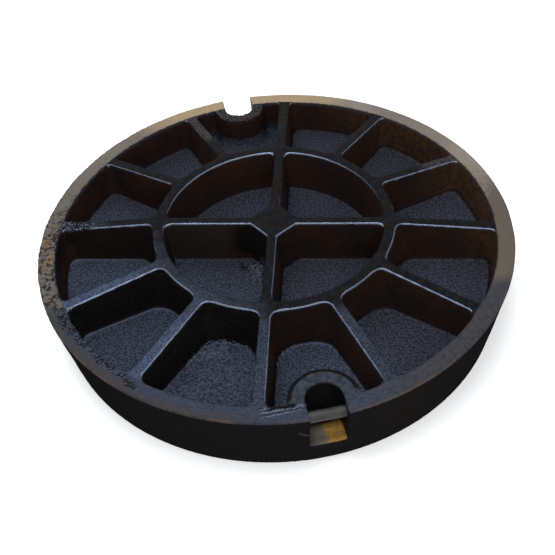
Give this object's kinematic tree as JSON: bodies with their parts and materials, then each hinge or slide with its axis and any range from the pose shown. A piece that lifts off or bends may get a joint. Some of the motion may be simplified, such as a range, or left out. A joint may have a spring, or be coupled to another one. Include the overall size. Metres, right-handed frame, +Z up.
{
  "type": "inspection cover",
  "caption": "Round cast-iron inspection cover, lying with its ribs up, with a ring rib, spokes, a hub plate and two lifting pockets, one with a steel bar.",
  "frame": {"origin": "centre of the road face, on the ground that the cover lies on", "axes": "+Z up out of the ribbed underside, -Y through the lifting pocket that keeps its bar, +X to the right of it"},
  "size_m": [0.5999, 0.5986, 0.106],
  "materials": {
    "cover": "grey iron as cast, dipped in black bitumen, with brown rust on the seat face",
    "lifting_bar": "round mild steel bar, weathered to a dull grey with a little brown rust"
  },
  "bodies": {
    "root": {"cover": "cover", "lifting_bar": "lifting_bar"}
  },
  "joints": []
}
